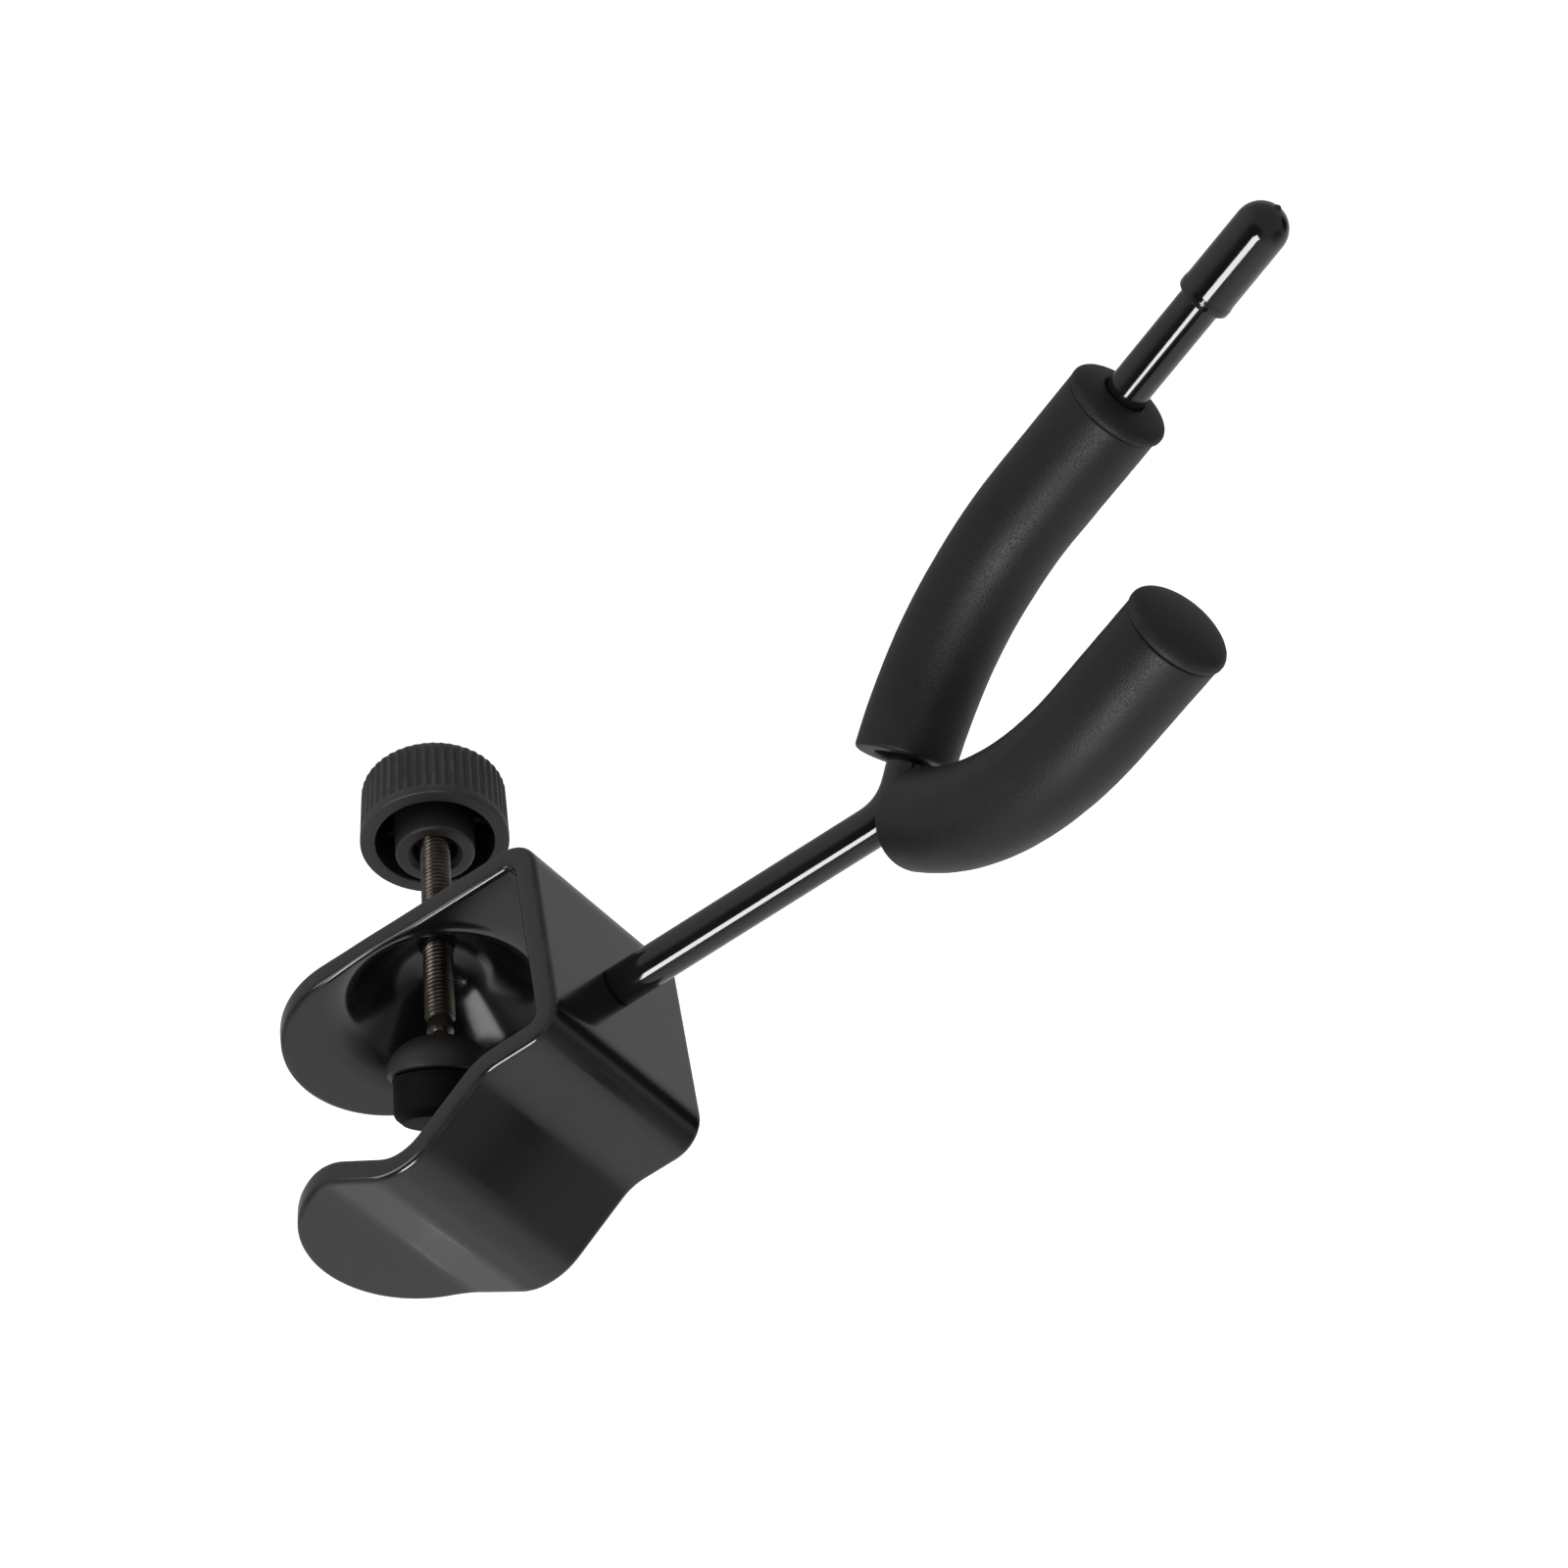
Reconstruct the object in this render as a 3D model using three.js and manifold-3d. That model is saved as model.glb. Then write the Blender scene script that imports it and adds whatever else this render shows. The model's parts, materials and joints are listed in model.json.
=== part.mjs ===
// Screw clamp with a padded two-armed yoke that holds an instrument on a stand tube or a shelf edge.
// Millimetres. +Z is up and runs along the clamped tube, +X points along the clamp screw to its knob,
// and the yoke reaches out towards -Y. The origin is on the fixed jaw's flat land, half way up.
import * as THREE from 'three';
import { mergeVertices } from 'three/addons/utils/BufferGeometryUtils.js';
import Module from 'manifold-3d';

const wasm = await Module();
wasm.setup();

// ---- driving dimensions ------------------------------------------------------------------------
const GAP = 0.3; // clearance between neighbouring pieces
const DEG = Math.PI / 180;

// bracket: one bent steel strip
const SHEET = 4.8; // strip thickness
const WIDTH = 45; // strip width along Z
const MOUTH = 40.4; // between the two jaws at the web
const WEB_Y = -10; // outer face of the web that joins the jaws
const WEB_BEND = 4.6; // bend radius of the strip's middle at the web
const ARM_TIP_Y = 63.3; // end of the screw-side arm
const ARM_SPLAY = 0.9; // degrees, the screw-side arm opens towards its end
const LAND_END_Y = 8; // where the fixed jaw's flat land ends
const VALLEY_X = -15; // corner of the V groove, middle of the strip
const VALLEY_Y = 28;
const LIP_X = -4.4; // where the groove turns into the lip, middle of the strip
const LIP_Y = 45.5;
const LIP_TIP_X = -2.5;
const LIP_TIP_Y = 63.3;
const JAW_BEND = 7; // bend radius of the strip's middle along the groove

// conical bowl pressed into the screw-side arm; heights are from the arm's inner face
const BOWL_Y = 28.85; // middle of its floor
const BOWL_DEPTH = 16.1;
const BOWL_RIM_R = 20.4; // where the cone would meet the inner face
const BOWL_SLOPE = 50; // degrees, cone against the arm
const BOWL_RIM_ROUND = 4;
const BOWL_FLOOR_ROUND = 4;
const BOWL_WALL = 3.6; // strip thickness after drawing

// clamp screw; heights are from the swivel ball's centre
const SCREW_LEAN = 5.2; // degrees, the screw leans towards the web at its knob end
const SCREW_R = 3; // M6 x 1
const NECK_R = 2.6; // plain neck below the thread
const PIN_NECK_R = 1.7; // narrow neck that lets the pad swivel
const PIN_R = 1.2; // pin that the swivel ball turns on
const RIVET_R = 1.7; // spread end of the pin
const BALL_R = 3.3;
const BALL_BELOW_FLOOR = 27.3; // ball centre from the bowl's floor
const THREAD_START = 8.8;
const NECK_START = 5.9;
const BOSS_FACE = 52.7; // knob boss

// knob
const KNOB_R = 14.9;
const KNOB_DRAFT = 0.4; // the knob is this much smaller in radius at its top
const KNOB_HEIGHT = 15.3;
const KNOB_CROWN = 2.6; // rounding of the top edge
const KNOB_RIM_LIFT = 3.3; // the rim stands this far behind the boss face
const KNOB_RIM_IN_R = 11.9;
const KNOB_BOSS_R = 8.4;
const KNOB_FLUTES = 48;
const KNOB_FLUTE_DEPTH = 0.5;
const KNOB_BAND = 2; // smooth band at the rim
const KNOB_ROOF = 3.2; // thickness of the knob's closed top
const KNOB_RIBS = 6;
const COUNTERBORE_R = 3.95;
const HEX_AF = 10; // screw head held in the knob
const HEX_HEIGHT = 4;

// swivel pad; heights are from the ball's centre along the pad's own axis
const PAD_TILT = 27; // degrees, how far the pad hangs over at rest
const PAD_TILT_AZIMUTH = 222; // degrees about the screw, direction of the swivel axis
const CAP_R = 10.4;
const CAP_RIM_Z = -4;
const CAP_DOME = 7.5;
const CAP_DOME_Z = -3;
const CAP_OPENING_R = 4.6;
const FOOT_R = 9.1;
const FOOT_BOTTOM_Z = -13;
const FOOT_EDGE = 2.2;
const FOOT_SPIGOT_R = 8.2;
const FOOT_SPIGOT_Z = -2.2;

// yoke: round steel rods with foam sleeves
const ROD_R = 4;
const ROD_X = MOUTH / 2; // the rod leaves the middle of the web
const REACH = 64.4; // web face to where the two arms part
const YOKE_TILT = 20.7; // degrees, the arms' plane rises from the rod
const ARM_SPREAD = 29.4; // from the centre line to each arm where they run parallel
const ROD_SWEEP = { angle: 50, radius: 70 }; // start angle to the centre line, radius of the curve
const LONG_SLEEVE_SWEEP = { angle: 58, radius: 61 }; // the sleeve sits loosely, outside the rod's curve
const SHORT_SLEEVE_SWEEP = { angle: 54, radius: 67 };
const LONG_TIP = 124.4; // along the centre line, from the parting point
const SHORT_TIP = 72;
const SLEEVE_R = 9.6;
const SLEEVE_BORE_R = 5.8;
const LONG_SLEEVE_START = 11.8; // along the arm from the parting point
const SHORT_SLEEVE_START = 9.5;
const LONG_SLEEVE_END = 79; // along the centre line
const SHORT_SLEEVE_END = 76.6;
const END_R = 9.9; // end collar and end cap
const END_RIM = 0.9;
const END_CROWN = 2.4;
const TIP_CAP_R = 5.05;
const TIP_CAP_START = 105.3;
const TIP_CAP_END = 127.8;

// ---- helpers -----------------------------------------------------------------------------------
const vec = (x, y, z) => new THREE.Vector3(x, y, z);
const sin = (degrees) => Math.sin(degrees * DEG);
const cos = (degrees) => Math.cos(degrees * DEG);
const tan = (degrees) => Math.tan(degrees * DEG);

function toSolid(geometry) {
  const plain = geometry.clone();
  for (const name of Object.keys(plain.attributes)) if (name !== 'position') plain.deleteAttribute(name);
  const merged = mergeVertices(plain, 1e-4);
  const mesh = new wasm.Mesh({
    numProp: 3,
    vertProperties: new Float32Array(merged.attributes.position.array),
    triVerts: new Uint32Array(merged.index.array),
  });
  return new wasm.Manifold(mesh);
}

function toGeometry(solid) {
  const mesh = solid.getMesh();
  const geometry = new THREE.BufferGeometry();
  geometry.setAttribute('position', new THREE.BufferAttribute(mesh.vertProperties, 3));
  geometry.setIndex(new THREE.BufferAttribute(mesh.triVerts, 1));
  geometry.computeVertexNormals();
  return geometry;
}

const cut = (body, ...tools) => toGeometry(tools.reduce((s, t) => s.subtract(toSolid(t)), toSolid(body)));
const join = (...bodies) => toGeometry(bodies.slice(1).reduce((s, b) => s.add(toSolid(b)), toSolid(bodies[0])));
const common = (a, b) => toGeometry(toSolid(a).intersect(toSolid(b)));

// Turned part about +Z from [radius, height] pairs, given from the bottom up.
function turned(profile, segments = 40) {
  const points = profile.map(([r, z]) => new THREE.Vector2(r, z));
  return new THREE.LatheGeometry(points, segments).rotateX(Math.PI / 2);
}

// Arc of [radius, height] pairs about a centre, angles in degrees from the radial direction.
function arc(cr, cz, rr, rz, from, to, steps) {
  const pairs = [];
  for (let i = 0; i <= steps; i++) {
    const a = from + ((to - from) * i) / steps;
    pairs.push([cr + rr * cos(a), cz + rz * sin(a)]);
  }
  return pairs;
}

// Adds a filleted corner to a 2-D path running from a to b to c.
function fillet(points, a, b, c, radius, steps = 5) {
  const into = new THREE.Vector2().subVectors(b, a).normalize();
  const out = new THREE.Vector2().subVectors(c, b).normalize();
  const turn = Math.atan2(into.cross(out), into.dot(out));
  const start = b.clone().addScaledVector(into, -radius * Math.tan(Math.abs(turn) / 2));
  const toCentre = new THREE.Vector2(-into.y, into.x).multiplyScalar(Math.sign(turn) * radius);
  const centre = start.clone().add(toCentre);
  for (let i = 0; i <= steps; i++) {
    points.push(start.clone().rotateAround(centre, (turn * i) / steps));
  }
}

function mesh(name, geometry, material) {
  const made = new THREE.Mesh(geometry, material);
  made.name = name;
  return made;
}

// ---- materials ---------------------------------------------------------------------------------
const paint = () => new THREE.MeshStandardMaterial({ color: 0x0f0f10, roughness: 0.35, metalness: 0 });
const glossPaint = () => new THREE.MeshStandardMaterial({ color: 0x0a0a0b, roughness: 0.15, metalness: 0 });
const foam = () => new THREE.MeshStandardMaterial({ color: 0x1d1d1f, roughness: 0.85, metalness: 0 });
const darkSteel = () => new THREE.MeshStandardMaterial({ color: 0x2a2520, roughness: 0.45, metalness: 1 });
const greyPlastic = () => new THREE.MeshStandardMaterial({ color: 0x202123, roughness: 0.6, metalness: 0 });
const rubber = () => new THREE.MeshStandardMaterial({ color: 0x0d0d0e, roughness: 0.75, metalness: 0 });
const vinyl = () => new THREE.MeshStandardMaterial({ color: 0x08080a, roughness: 0.2, metalness: 0 });

// ---- bracket -----------------------------------------------------------------------------------
const half = SHEET / 2;

// Corners of the strip's middle line in the X-Y plane, from the screw-side arm's end to the lip's end.
function stripCorners() {
  const at = (x, y, radius) => ({ p: new THREE.Vector2(x, y), radius });
  return [
    at(MOUTH + half + tan(ARM_SPLAY) * (ARM_TIP_Y - WEB_Y), ARM_TIP_Y),
    at(MOUTH + half, WEB_Y + half, WEB_BEND),
    at(-half, WEB_Y + half, WEB_BEND),
    at(-half, LAND_END_Y, JAW_BEND),
    at(VALLEY_X, VALLEY_Y, JAW_BEND),
    at(LIP_X, LIP_Y, JAW_BEND),
    at(LIP_TIP_X, LIP_TIP_Y),
  ];
}

// One side of the strip: the middle line moved sideways, with concentric bends.
function stripSide(corners, offset) {
  const lines = [];
  for (let i = 1; i < corners.length; i++) {
    const start = corners[i - 1].p;
    const along = new THREE.Vector2().subVectors(corners[i].p, start);
    const length = along.length();
    along.divideScalar(length);
    lines.push({ start: new THREE.Vector2(-along.y, along.x).multiplyScalar(offset).add(start), along, length });
  }
  const meet = (a, b) => {
    const t = new THREE.Vector2().subVectors(b.start, a.start).cross(b.along) / a.along.cross(b.along);
    return a.start.clone().addScaledVector(a.along, t);
  };
  const last = lines[lines.length - 1];
  const knots = [lines[0].start];
  for (let i = 1; i < lines.length; i++) knots.push(meet(lines[i - 1], lines[i]));
  knots.push(last.start.clone().addScaledVector(last.along, last.length));
  const points = [knots[0]];
  for (let i = 1; i < knots.length - 1; i++) {
    const turn = lines[i - 1].along.cross(lines[i].along);
    fillet(points, knots[i - 1], knots[i], knots[i + 1], corners[i].radius - Math.sign(turn) * offset);
  }
  points.push(knots[knots.length - 1]);
  return points;
}

// A slab between two X heights with a full round end at tipY, covering the strip's width.
function roundEndedSlab(tipY, fromX, toX) {
  const shape = new THREE.Shape();
  const halfWidth = WIDTH / 2;
  shape.moveTo(WEB_Y - 1, -halfWidth);
  shape.lineTo(tipY - halfWidth, -halfWidth);
  shape.absarc(tipY - halfWidth, 0, halfWidth, -Math.PI / 2, Math.PI / 2, false);
  shape.lineTo(WEB_Y - 1, halfWidth);
  shape.closePath();
  const slab = new THREE.ExtrudeGeometry(shape, { depth: toX - fromX, bevelEnabled: false, curveSegments: 28 });
  // the drawing's axes and its depth become Y, Z and X
  slab.applyMatrix4(new THREE.Matrix4().makeBasis(vec(0, 1, 0), vec(0, 0, 1), vec(1, 0, 0)));
  return slab.translate(fromX, 0, 0);
}

// A frame in the X-Y plane whose +Z leans from +X towards -Y and whose +Y is the part's +Z.
function leaningFrame(lean, x, y) {
  const axis = vec(cos(lean), -sin(lean), 0);
  const up = vec(0, 0, 1);
  const frame = new THREE.Matrix4().makeBasis(new THREE.Vector3().crossVectors(up, axis), up, axis);
  return frame.setPosition(vec(x, y, 0));
}

const armX = (y) => MOUTH + tan(ARM_SPLAY) * (y - WEB_Y); // inner face of the screw-side arm
const floorX = armX(BOWL_Y) + BOWL_DEPTH;

// The cone's two roundings as [radius, height] pairs, for the bowl's inside or its outside.
function bowlProfile(wall) {
  const slopeSetBack = tan(BOWL_SLOPE / 2);
  const rimR = BOWL_RIM_R + wall / sin(BOWL_SLOPE);
  const floorZ = BOWL_DEPTH + wall;
  const cornerR = rimR - floorZ / tan(BOWL_SLOPE);
  const round = BOWL_FLOOR_ROUND + (wall > 0 ? -1 : 0);
  const flatR = cornerR - round * slopeSetBack;
  return [...arc(flatR, floorZ - round, round, round, 90 - BOWL_SLOPE, 90, 4), [0, floorZ]];
}

function clampBracket() {
  const corners = stripCorners();
  const outline = [...stripSide(corners, half), ...stripSide(corners, -half).reverse()];
  const profile = new THREE.ExtrudeGeometry(new THREE.Shape(outline), { depth: WIDTH, bevelEnabled: false });
  profile.translate(0, 0, -WIDTH / 2);
  const middleX = MOUTH / 2;
  const plan = join(
    roundEndedSlab(ARM_TIP_Y, middleX - 1, MOUTH + SHEET + 3),
    roundEndedSlab(LIP_TIP_Y, VALLEY_X - 2 * SHEET, middleX),
  );
  const strip = common(profile, plan);
  const base = SHEET - 1; // the cone's outside starts within the strip
  const outsideR = BOWL_RIM_R + BOWL_WALL / sin(BOWL_SLOPE) - base / tan(BOWL_SLOPE);
  const outside = turned([[0, base], [outsideR, base], ...bowlProfile(BOWL_WALL)], 56);
  const setBack = BOWL_RIM_ROUND * tan(BOWL_SLOPE / 2);
  const rim = arc(BOWL_RIM_R + setBack, BOWL_RIM_ROUND, BOWL_RIM_ROUND, BOWL_RIM_ROUND, -90, -90 - BOWL_SLOPE, 4);
  const inside = turned([[0, -1], [BOWL_RIM_R + setBack, -1], ...rim, ...bowlProfile(0)], 56);
  const bowlFrame = leaningFrame(ARM_SPLAY, armX(BOWL_Y), BOWL_Y + BOWL_DEPTH * sin(ARM_SPLAY));
  const tapped = turned([[0, -8], [SCREW_R + GAP, -8], [SCREW_R + GAP, 12], [0, 12]], 32);
  outside.applyMatrix4(bowlFrame);
  inside.applyMatrix4(bowlFrame);
  tapped.applyMatrix4(leaningFrame(SCREW_LEAN, floorX, BOWL_Y));
  const rodHole = turned([[0, -1], [ROD_R - 1 + GAP, -1], [ROD_R - 1 + GAP, SHEET + 1], [0, SHEET + 1]], 24);
  rodHole.rotateX(-Math.PI / 2).translate(ROD_X, WEB_Y, 0);
  return cut(join(strip, outside), inside, tapped, rodHole);
}

// ---- yoke --------------------------------------------------------------------------------------
const yokeRun = vec(0, -cos(YOKE_TILT), sin(YOKE_TILT)); // along the arms where they run parallel
const partingPoint = vec(ROD_X, WEB_Y - REACH, 0);

// A point of the yoke's plane: run along its centre line, and sideways along X.
function yokePoint(run, sideways) {
  return partingPoint.clone().addScaledVector(yokeRun, run).add(vec(sideways, 0, 0));
}

// Straight length before the curve, so that the arm ends up at the full spread.
const leadOf = ({ angle, radius }) => (ARM_SPREAD - radius * (1 - cos(angle))) / sin(angle);
const sweepEndOf = ({ angle, radius }) => leadOf({ angle, radius }) * cos(angle) + radius * sin(angle);

// The curved stretch of an arm. side is +1 on the knob's side; the angle runs down to zero.
class Sweep extends THREE.Curve {
  constructor(sweep, side, fromAngle) {
    super();
    Object.assign(this, { sweep, side, fromAngle });
  }

  getPoint(t, target = new THREE.Vector3()) {
    const angle = this.fromAngle * (1 - t);
    const run = sweepEndOf(this.sweep) - this.sweep.radius * sin(angle);
    const sideways = ARM_SPREAD - this.sweep.radius * (1 - cos(angle));
    return target.copy(yokePoint(run, this.side * sideways));
  }
}

// An arm from a distance along it to a tip, which is a run along the centre line.
function armPath(sweep, side, distance, tip) {
  const path = new THREE.CurvePath();
  const lead = leadOf(sweep);
  if (distance < lead) {
    const along = (d) => yokePoint(d * cos(sweep.angle), side * d * sin(sweep.angle));
    path.add(new THREE.LineCurve3(along(distance), along(lead)));
  }
  const fromAngle = sweep.angle - Math.max(0, distance - lead) / sweep.radius / DEG;
  path.add(new Sweep(sweep, side, fromAngle));
  const end = sweepEndOf(sweep);
  path.add(new THREE.LineCurve3(yokePoint(end, side * ARM_SPREAD), yokePoint(tip, side * ARM_SPREAD)));
  return path;
}

function circle(radius, sides) {
  const points = [];
  for (let i = 0; i < sides; i++) {
    points.push(new THREE.Vector2(radius * cos((360 * i) / sides), radius * sin((360 * i) / sides)));
  }
  return points;
}

const swept = (shape, path, steps) =>
  new THREE.ExtrudeGeometry(shape, { extrudePath: path, steps, bevelEnabled: false });

// The long rod's middle line: straight out of the web, one bend, then the knob-side arm.
function longRodPath(tip) {
  const bendRun = leadOf(ROD_SWEEP);
  const bendStart = partingPoint.clone().add(vec(0, bendRun, 0));
  const arm = armPath(ROD_SWEEP, 1, bendRun, tip);
  arm.curves.unshift(new THREE.QuadraticBezierCurve3(bendStart, partingPoint, arm.curves[0].getPoint(0)));
  arm.curves.unshift(new THREE.LineCurve3(vec(ROD_X, WEB_Y - GAP, 0), bendStart));
  return arm;
}

function longRod() {
  const rod = swept(new THREE.Shape(circle(ROD_R, 18)), longRodPath(LONG_TIP), 48);
  const tenonR = ROD_R - 1;
  const tenon = turned([[0, 0], [tenonR, 0], [tenonR, SHEET + 1.7], [0, SHEET + 1.7]], 24);
  tenon.rotateX(-Math.PI / 2).translate(ROD_X, WEB_Y - 2, 0);
  return join(rod, tenon);
}

// The short rod butts against the long one where the arms part, coped to its round.
function shortRod() {
  const rod = swept(new THREE.Shape(circle(ROD_R, 18)), armPath(ROD_SWEEP, -1, 1.7, SHORT_TIP), 26);
  const relief = swept(new THREE.Shape(circle(ROD_R + GAP, 18)), longRodPath(LONG_TIP), 48);
  return cut(rod, relief);
}

function foamSleeve(sweep, side, start, end) {
  const shape = new THREE.Shape(circle(SLEEVE_R, 22));
  shape.holes.push(new THREE.Path(circle(SLEEVE_BORE_R, 22)));
  return swept(shape, armPath(sweep, side, start, end), 20);
}

// Places an end piece on an arm: its +Z runs out along the arm.
function armFrame(side, run) {
  const across = vec(1, 0, 0);
  const frame = new THREE.Matrix4();
  frame.makeBasis(across, new THREE.Vector3().crossVectors(yokeRun, across), yokeRun);
  return frame.setPosition(yokePoint(run, side * ARM_SPREAD));
}

function sleeveEndCollar() {
  const bore = ROD_R + GAP;
  const crown = arc(0, END_RIM, END_R, END_CROWN, 0, 60, 5);
  return turned([[bore, 0], [END_R, 0], ...crown, [bore, END_RIM + END_CROWN * 0.9], [bore, 0]]);
}

function sleeveEndCap() {
  const crown = arc(0, END_RIM, END_R, END_CROWN, 0, 80, 7);
  return turned([[0, 0], [END_R, 0], ...crown, [0, END_RIM + END_CROWN]]);
}

function rodTipCap() {
  const length = TIP_CAP_END - TIP_CAP_START;
  const depth = LONG_TIP - TIP_CAP_START + GAP;
  const bore = ROD_R + GAP;
  const dome = arc(0, length - TIP_CAP_R, TIP_CAP_R, TIP_CAP_R, 0, 80, 6);
  return turned([[0, depth], [bore, depth], [bore, 0], [TIP_CAP_R, 0], ...dome, [0, length]], 32);
}

// ---- screw, knob and swivel pad: origin at the ball's centre, +Z up the screw -------------------
const headStart = BOSS_FACE + 3;

function clampScrew() {
  const stem = turned([[0, -3.7], [RIVET_R, -3.7], [RIVET_R, -3.3], [PIN_R, -3.3], [PIN_R, 3.25],
    [PIN_NECK_R, 3.25], [PIN_NECK_R, NECK_START], [NECK_R, NECK_START + 0.6], [NECK_R, THREAD_START],
    [SCREW_R, THREAD_START + 0.4], [SCREW_R, headStart + 1], [0, headStart + 1]], 32);
  const headR = HEX_AF / Math.sqrt(3);
  const head = turned([[0, 0], [headR, 0], [headR, HEX_HEIGHT], [0, HEX_HEIGHT]], 6);
  return join(stem, head.translate(0, 0, headStart));
}

function swivelBall() {
  const bore = PIN_R + GAP;
  const flat = Math.acos(bore / BALL_R) / DEG;
  return turned([...arc(0, 0, BALL_R, BALL_R, -flat, flat, 10), [bore, -BALL_R * sin(flat)]], 28);
}

function fluteOutline(radius, depth) {
  const points = [];
  for (let i = 0; i < KNOB_FLUTES; i++) {
    for (const [step, r] of [[-0.28, radius], [0.28, radius], [0.5, radius - depth]]) {
      const a = (360 * (i + step)) / KNOB_FLUTES;
      points.push(new THREE.Vector2(r * cos(a), r * sin(a)));
    }
  }
  return new THREE.Shape(points);
}

function knob() {
  const rim = BOSS_FACE + KNOB_RIM_LIFT;
  const top = rim + KNOB_HEIGHT;
  const topR = KNOB_R - KNOB_DRAFT;
  const crown = arc(topR - KNOB_CROWN, top - KNOB_CROWN, KNOB_CROWN, KNOB_CROWN, 0, 90, 3);
  const blank = turned([[0, rim], [KNOB_R, rim], ...crown, [0, top]], 48);
  const flutes = new THREE.ExtrudeGeometry(fluteOutline(KNOB_R, KNOB_FLUTE_DEPTH + 0.2), {
    depth: KNOB_HEIGHT,
    bevelEnabled: false,
  }).translate(0, 0, rim + KNOB_BAND);
  const bandR = KNOB_R + 1;
  const band = turned([[0, rim - 1], [bandR, rim - 1], [bandR, rim + KNOB_BAND], [0, rim + KNOB_BAND]]);
  const body = common(blank, join(flutes, band));
  const ceiling = top - KNOB_ROOF;
  const hollow = turned([[0, rim - 1], [KNOB_RIM_IN_R, rim - 1], [KNOB_RIM_IN_R - 0.4, ceiling], [0, ceiling]]);
  const boss = turned([[0, BOSS_FACE], [KNOB_BOSS_R - 0.5, BOSS_FACE], [KNOB_BOSS_R, BOSS_FACE + 0.5],
    [KNOB_BOSS_R, ceiling + 1], [0, ceiling + 1]]);
  const bore = turned([[0, BOSS_FACE - 1], [COUNTERBORE_R, BOSS_FACE - 1], [COUNTERBORE_R, BOSS_FACE + 2],
    [SCREW_R + GAP, BOSS_FACE + 2], [SCREW_R + GAP, headStart + 1], [0, headStart + 1]], 32);
  const pocketR = (HEX_AF / 2 + GAP) / cos(30);
  const pocket = turned([[0, -GAP], [pocketR, -GAP], [pocketR, HEX_HEIGHT + GAP], [0, HEX_HEIGHT + GAP]], 6);
  pocket.translate(0, 0, headStart);
  const ribs = [];
  const ribBottom = rim + 5;
  for (let i = 0; i < KNOB_RIBS; i++) {
    const rib = new THREE.BoxGeometry(KNOB_RIM_IN_R - KNOB_BOSS_R + 2, 1.2, ceiling + 1 - ribBottom);
    rib.translate((KNOB_RIM_IN_R + KNOB_BOSS_R) / 2, 0, (ceiling + 1 + ribBottom) / 2);
    ribs.push(rib.rotateZ((2 * Math.PI * i) / KNOB_RIBS));
  }
  return cut(join(cut(body, hollow), boss, ...ribs), bore, pocket);
}

function padCap() {
  const openingAngle = Math.acos(CAP_OPENING_R / CAP_R) / DEG;
  const dome = arc(0, CAP_DOME_Z, CAP_R, CAP_DOME, 0, openingAngle, 7);
  const socketR = BALL_R + GAP;
  const recessR = FOOT_SPIGOT_R + GAP;
  const ceiling = FOOT_SPIGOT_Z + GAP;
  return turned([[recessR, CAP_RIM_Z], [CAP_R, CAP_RIM_Z], ...dome, ...arc(0, 0, socketR, socketR, 29, 0, 4),
    [socketR, ceiling], [recessR, ceiling], [recessR, CAP_RIM_Z]], 36);
}

function padFoot() {
  const edge = arc(FOOT_R - FOOT_EDGE, FOOT_BOTTOM_Z + FOOT_EDGE, FOOT_EDGE, FOOT_EDGE, -90, 0, 4);
  const shoulder = CAP_RIM_Z - GAP;
  return turned([[0, FOOT_BOTTOM_Z], ...edge, [FOOT_R, shoulder], [FOOT_SPIGOT_R, shoulder],
    [FOOT_SPIGOT_R, FOOT_SPIGOT_Z], [4.2, FOOT_SPIGOT_Z], [4.2, -4.6], [0, -4.6]], 36);
}

// ---- assembly ----------------------------------------------------------------------------------
function placed(made, frame) {
  made.applyMatrix4(frame);
  return made;
}

const hanger = new THREE.Group();
hanger.add(mesh('clamp_bracket', clampBracket(), paint()));
hanger.add(mesh('long_rod', longRod(), glossPaint()));
hanger.add(mesh('short_rod', shortRod(), glossPaint()));
const longSleeve = foamSleeve(LONG_SLEEVE_SWEEP, 1, LONG_SLEEVE_START, LONG_SLEEVE_END);
const shortSleeve = foamSleeve(SHORT_SLEEVE_SWEEP, -1, SHORT_SLEEVE_START, SHORT_SLEEVE_END);
hanger.add(mesh('long_foam_sleeve', longSleeve, foam()));
hanger.add(mesh('short_foam_sleeve', shortSleeve, foam()));
hanger.add(placed(mesh('sleeve_end_collar', sleeveEndCollar(), foam()), armFrame(1, LONG_SLEEVE_END + GAP)));
hanger.add(placed(mesh('sleeve_end_cap', sleeveEndCap(), foam()), armFrame(-1, SHORT_SLEEVE_END + GAP)));
hanger.add(placed(mesh('rod_tip_cap', rodTipCap(), vinyl()), armFrame(1, TIP_CAP_START)));

const screwGroup = new THREE.Group();
screwGroup.applyMatrix4(leaningFrame(SCREW_LEAN, floorX, BOWL_Y));
screwGroup.translateZ(-BALL_BELOW_FLOOR);
screwGroup.add(mesh('clamp_screw', clampScrew(), darkSteel()));
screwGroup.add(mesh('knob', knob(), greyPlastic()));
screwGroup.add(mesh('swivel_ball', swivelBall(), darkSteel()));

const padGroup = new THREE.Group();
const swivelAxis = vec(cos(PAD_TILT_AZIMUTH), sin(PAD_TILT_AZIMUTH), 0);
padGroup.quaternion.setFromAxisAngle(swivelAxis, PAD_TILT * DEG);
padGroup.add(mesh('pad_cap', padCap(), greyPlastic()));
padGroup.add(mesh('pad_foot', padFoot(), rubber()));
screwGroup.add(padGroup);
hanger.add(screwGroup);

export default hanger;
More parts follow.
